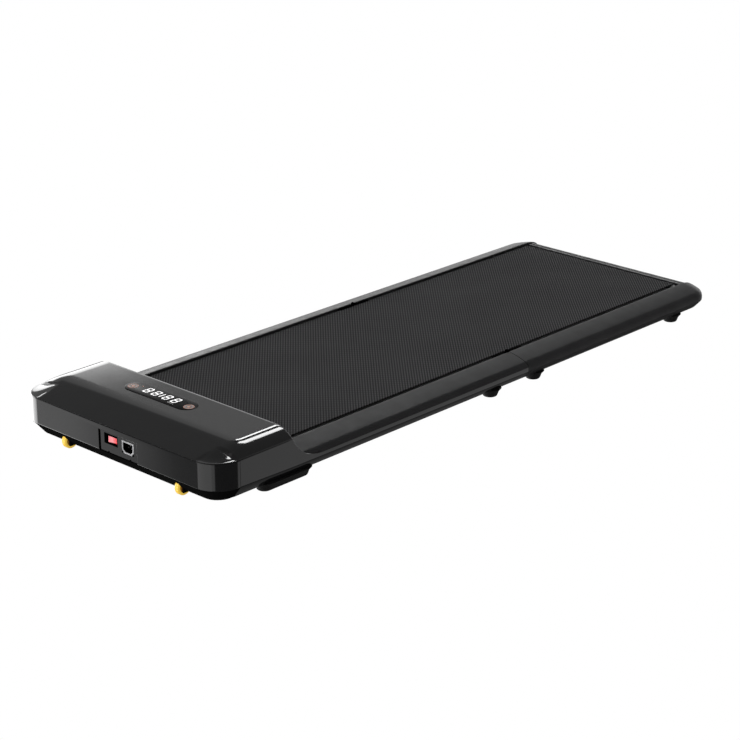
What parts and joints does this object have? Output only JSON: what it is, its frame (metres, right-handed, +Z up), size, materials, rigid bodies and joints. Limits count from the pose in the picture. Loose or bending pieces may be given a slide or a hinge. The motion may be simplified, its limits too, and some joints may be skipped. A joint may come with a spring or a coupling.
{
  "type": "folding walking pad treadmill",
  "caption": "Flat under-desk treadmill that folds in half: low black head with display and drive, walking belt between side rails, feet and transport wheels.",
  "frame": {"origin": "on the floor, below the middle of the unfolded machine's bounding box", "axes": "+Y from the head to the tail along the belt, +Z up, +X across"},
  "size_m": [0.519, 1.426, 0.1095],
  "materials": {
    "gloss_black": "gloss moulded ABS, lightly polished",
    "satin_black": "satin moulded ABS",
    "under_black": "textured matt black",
    "display_black": "black display lens with white digits behind it",
    "belt_black": "diamond-pattern PVC belt surface",
    "deck_board": "waxed high-density fibreboard",
    "frame_steel": "black powder coat",
    "bright_steel": "ground steel",
    "aluminium": "machined aluminium",
    "rubber": "moulded black rubber",
    "yellow": "yellow moulded polyurethane",
    "red": "translucent red, lit from inside",
    "grey_trim": "grey nylon",
    "circuit_green": "solder-masked glass-fibre board"
  },
  "bodies": {
    "front_base": {"head_crown_cover": "gloss_black", "display_window": "display_black", "display_board": "circuit_green", "head_bumper": "gloss_black", "head_bottom_pan": "under_black", "socket_panel": "satin_black", "switch_bezel": "satin_black", "power_inlet": "grey_trim", "drive_motor": "frame_steel", "motor_cradle": "frame_steel", "drive_belt": "rubber", "controller_board": "circuit_green", "controller_heat_sink": "aluminium", "front_roller_axle": "bright_steel", "walking_belt_front": "belt_black", "deck_front": "deck_board", "frame_rail_front_right": "frame_steel", "frame_rail_front_left": "frame_steel", "cross_member_head": "frame_steel", "cross_member_front": "frame_steel", "side_panel_front_right": "gloss_black", "side_panel_front_left": "gloss_black", "rail_cover_front_right": "satin_black", "rail_cover_front_left": "satin_black", "bottom_cover_front": "under_black", "hinge_leaf_front_right": "frame_steel", "hinge_leaf_front_left": "frame_steel", "foot_front_right": "rubber", "foot_front_left": "rubber", "foot_mid_front_right": "rubber", "foot_mid_front_left": "rubber", "wheel_axle_right": "bright_steel", "wheel_axle_left": "bright_steel"},
    "rear_half": {"rear_roller_axle": "bright_steel", "rear_roller_block_right": "frame_steel", "rear_roller_block_left": "frame_steel", "walking_belt_rear": "belt_black", "deck_rear": "deck_board", "frame_rail_rear_right": "frame_steel", "frame_rail_rear_left": "frame_steel", "cross_member_rear": "frame_steel", "cross_member_tail": "frame_steel", "rail_shell_rear_right": "satin_black", "rail_shell_rear_left": "satin_black", "bottom_cover_rear": "under_black", "tail_end_bar": "satin_black", "hinge_leaf_rear_right": "frame_steel", "hinge_leaf_rear_left": "frame_steel", "foot_mid_rear_right": "rubber", "foot_mid_rear_left": "rubber", "foot_tail_right": "rubber", "foot_tail_left": "rubber"},
    "front_roller": {"front_roller": "bright_steel", "roller_pulley": "aluminium"},
    "rear_roller": {"rear_roller": "bright_steel"},
    "motor_rotor": {"motor_shaft": "bright_steel", "motor_pulley": "aluminium"},
    "wheel_right": {"transport_wheel_right": "yellow"},
    "wheel_left": {"transport_wheel_left": "yellow"},
    "rocker": {"power_rocker": "red"}
  },
  "joints": [
    {"name": "fold_hinge", "type": "hinge", "parent": "front_base", "child": "rear_half", "pos_m": [0, 0.105, 0.065], "axis": [1, 0, 0], "range_deg": [0, 179]},
    {"name": "front_roller_spin", "type": "hinge", "parent": "front_base", "child": "front_roller", "pos_m": [0, -0.568, 0.0414], "axis": [1, 0, 0], "continuous": true},
    {"name": "rear_roller_spin", "type": "hinge", "parent": "rear_half", "child": "rear_roller", "pos_m": [0, 0.664, 0.0414], "axis": [1, 0, 0], "continuous": true},
    {"name": "motor_spin", "type": "hinge", "parent": "front_base", "child": "motor_rotor", "pos_m": [-0.19, -0.638, 0.052], "axis": [1, 0, 0], "continuous": true},
    {"name": "wheel_right_spin", "type": "hinge", "parent": "front_base", "child": "wheel_right", "pos_m": [0.15, -0.69, 0.0205], "axis": [1, 0, 0], "continuous": true},
    {"name": "wheel_left_spin", "type": "hinge", "parent": "front_base", "child": "wheel_left", "pos_m": [-0.15, -0.69, 0.0205], "axis": [1, 0, 0], "continuous": true},
    {"name": "power_rocker_tilt", "type": "hinge", "parent": "front_base", "child": "rocker", "pos_m": [-0.005, -0.707, 0.06725], "axis": [0, 0, 1], "range_deg": [-14, 0]}
  ],
  "couplings": [
    {"joint": "rear_roller_spin", "follows": "front_roller_spin", "ratio": 1},
    {"joint": "motor_spin", "follows": "front_roller_spin", "ratio": 2.25}
  ]
}
